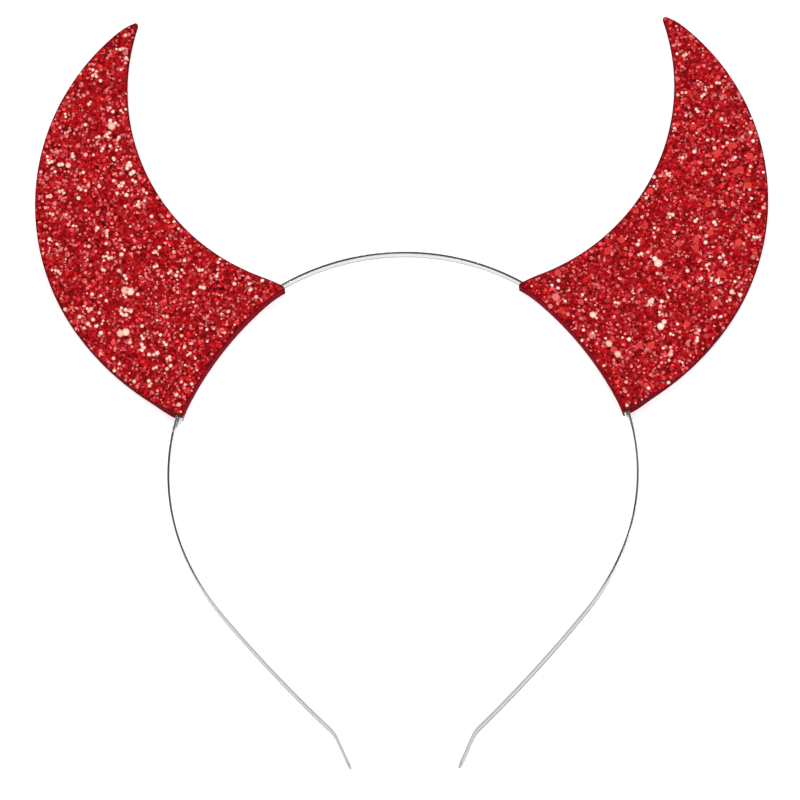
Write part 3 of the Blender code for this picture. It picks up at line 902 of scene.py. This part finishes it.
# %% Put the glitter on the four plies
FIRST_SEED = 70
for number, ((side_name, face_name), (cloth, surface, flip)) in enumerate(sorted(cloths.items())):
    rng = np.random.default_rng(FIRST_SEED + number)
    parts, shades, slots = [], [], []
    for kind, (across, spread, covers, lean, height, clumps) in FLAKE_KINDS.items():
        cover = covers[side_name == "right"]
        part = flakes_on(rng, surface, flip, across, spread, cover, lean, height, clumps)
        finish, rim_share, slot = FLAKE_FINISH[kind]
        parts.append(part)
        shades.append(shades_for(rng, finish, rim_share, len(part[0])))
        slots.append(np.full(len(part[0]), slot))
    points, faces = flake_mesh(*(np.concatenate(values) for values in zip(*parts)))
    stand = np.concatenate([part[0] - part[1] for part in parts])[:, 2].mean()
    flakes = len(points) // FLAKE_POINTS
    print(f"{side_name} {face_name}: {flakes} flakes, {stand:+.2f} mm over their beds along Z")
    face_slots = np.repeat(np.concatenate(slots), len(FLAKE_PATTERN)).astype(np.int32)
    glitter = put(f"{side_name}_{face_name}_glitter", points, faces, foil_and_film, face_slots)
    glitter.data.shade_flat()
    colours = np.concatenate(shades).astype(np.float32)
    layer = glitter.data.attributes.new("flake_shade", "FLOAT_COLOR", "POINT")
    layer.data.foreach_set("color", colours.ravel())
    places = flake_map(flakes).astype(np.float32)
    glitter.data.uv_layers.new(name="OFBake").uv.foreach_set("vector", places.ravel())

# %% [markdown]
# ## Drops of hot glue
#
# Where the strip leaves each sleeve at its lower mouth, a little clear glue was squeezed out on the head's
# side. It drew out into a point along the strip as it cooled. Hot glue is clear but a little cloudy, so
# only part of the light goes straight through. Each drop is a row of ellipses just off the strip's face,
# and starts a little inside the sleeve. Their size falls from the mouth to the point as sqrt(1 - t^2) times
# 1 - t / 2.

# %% Glue drops
DROPS = {
    # by side of the headband: its sign, then length along the strip, width across it and height, in mm
    "left": (-1, 3.4, 1.3, 3.6),
    "right": (1, 1.6, 1.0, 3.0),
}
DROP_RINGS, DROP_SIDES = 24, 32
DROP_INSIDE, DROP_OFF_FACE, DROP_END = 1.2, 0.02, 0.999
glue = new_material(
    "clear_eva_hot_melt_glue", Base_Color=linear("#F6F6F4"), Roughness=0.2, IOR=1.48, Transmission_Weight=0.45
)[0]
head_face = -STRIP_THICKNESS / 2
mouth_stations = np.linspace(MOUTH_STATION, END_STATION, SEARCH_POINTS)
leaves = crossing(mouth_stations, outside_lower(along(mouth_stations, head_face)[0])[None])[0]
for side_name, (side, length, width, tall) in DROPS.items():
    t = np.linspace(-DROP_INSIDE / length, DROP_END, DROP_RINGS)[:, None]
    size = np.sqrt(1 - np.clip(t, 0, 1) ** 2) * (1 - np.clip(t, 0, 1) / 2)
    angle = np.linspace(0, 2 * math.pi, DROP_SIDES, endpoint=False)
    reach = head_face - DROP_OFF_FACE - width / 2 * size * (1 - np.cos(angle))
    plan, _ = along(np.broadcast_to(leaves + t * length, reach.shape), reach)
    high = MIDDLE_HEIGHT + tall / 2 * size * np.sin(angle)
    drop_rings = np.concatenate([plan * [side, 1], high[..., None]], axis=-1)
    ends = drop_rings[[0, -1]].mean(axis=1)
    drop_index = np.arange(DROP_RINGS * DROP_SIDES).reshape(DROP_RINGS, DROP_SIDES)
    wall = quads(np.column_stack([drop_index, drop_index[:, 0]]))
    first, last, count = drop_index[0], drop_index[-1], drop_index.size
    walls = np.concatenate([wall[:, [0, 1, 2]], wall[:, [0, 2, 3]]])
    caps = [
        np.column_stack([np.full(DROP_SIDES, count), first, np.roll(first, -1)]),
        np.column_stack([np.full(DROP_SIDES, count + 1), np.roll(last, -1), last]),
    ]
    drop_points = np.vstack([drop_rings.reshape(-1, 3), ends])
    put(f"{side_name}_glue_drop", drop_points, np.concatenate([walls, *caps]), [glue])
print("strip leaves the sleeve at station:", round(float(leaves), 2))

# %% [markdown]
# ## The stage
#
# The photograph is bright and even, on white. The floor is a pale board that gives off a little light of
# its own, as a backlit table does, which keeps shadows faint. The sky above is a bright ring with a dark
# middle, and its strength falls between two heights, each the sine of an elevation. The strip's edge, which
# looks straight up, mirrors the dark part, and its sides mirror the floor. Flakes that lean mirror the
# ring, and a few mirror one of the small lamps.

# %% Floor
FLOOR_SIDE, FLOOR_GAP = 30.0, 0.00005
low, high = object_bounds()
floor_height = low[2] - FLOOR_GAP
corners = np.array([(-1, -1, 0), (1, -1, 0), (1, 1, 0), (-1, 1, 0)]) * FLOOR_SIDE / 2 + [0, 0, floor_height]
floor_mesh = bpy.data.meshes.new("floor")
floor_mesh.from_pydata(corners.tolist(), [], [(0, 1, 2, 3)])
floor = bpy.data.objects.new("floor", floor_mesh)
bpy.context.scene.collection.objects.link(floor)
board = new_material(
    "matt_white_acrylic_board", Base_Color=linear("#F2F2F2"), Roughness=0.8, Specular_IOR_Level=0.2,
    Emission_Color=linear("#FFFFFF"), Emission_Strength=0.4,
)[0]
floor_mesh.materials.append(board)
print("floor at z in mm:", round(floor_height / MM, 3))

# %% Sky and lamps
HORIZON_LIGHT, ZENITH_LIGHT = 1.05, 0.15
BRIGHT_TO, DARK_FROM = 0.50, 0.955
LAMP_AWAY, LAMP_RADIUS, LAMP_POWER = 2.0, 0.09, 4.0
LAMPS = (
    # degrees from the zenith, and bearing anticlockwise from +X
    (24.0, 8.0),
    (30.0, 52.0),
    (38.0, 98.0),
    (31.0, 140.0),
    (22.0, 186.0),
    (20.0, 246.0),
    (24.0, 312.0),
)
world = bpy.data.worlds.new("studio_sky")
world.use_nodes = True
bpy.context.scene.world = world
tree = world.node_tree
way = add(tree, "TexCoord")
height = add(tree, "SeparateXYZ", {"Vector": way.outputs["Generated"]})
levels = {"From Min": BRIGHT_TO, "From Max": DARK_FROM, "To Min": HORIZON_LIGHT, "To Max": ZENITH_LIGHT}
climb = add(tree, "MapRange", {"Value": height.outputs["Z"], **levels}, interpolation_type="SMOOTHSTEP")
tree.links.new(climb.outputs["Result"], tree.nodes["Background"].inputs["Strength"])
tree.nodes["Background"].inputs["Color"].default_value = linear("#FFFFFF")

for number, (off_zenith, bearing) in enumerate(np.radians(LAMPS)):
    lamp_data = bpy.data.lights.new(f"lamp_{number}", "AREA")
    lamp_data.shape = "DISK"
    lamp_data.size = 2 * LAMP_RADIUS
    lamp_data.energy = LAMP_POWER
    lamp_data.color = linear("#FFFDFA")[:3]
    lamp = bpy.data.objects.new(f"lamp_{number}", lamp_data)
    bpy.context.scene.collection.objects.link(lamp)
    flat = math.sin(off_zenith)
    towards = np.array([flat * math.cos(bearing), flat * math.sin(bearing), math.cos(off_zenith)])
    across_lamp = unit(np.cross((0, 1, 0), towards))
    lamp.matrix_world = pose_of(across_lamp, np.cross(towards, across_lamp), towards, towards * LAMP_AWAY)
    lamp.visible_camera = False

view_settings = bpy.context.scene.view_settings
view_settings.view_transform = "Standard"
view_settings.look = "None"
print("lamps:", len(LAMPS), " sky from", ZENITH_LIGHT, "overhead to", HORIZON_LIGHT)
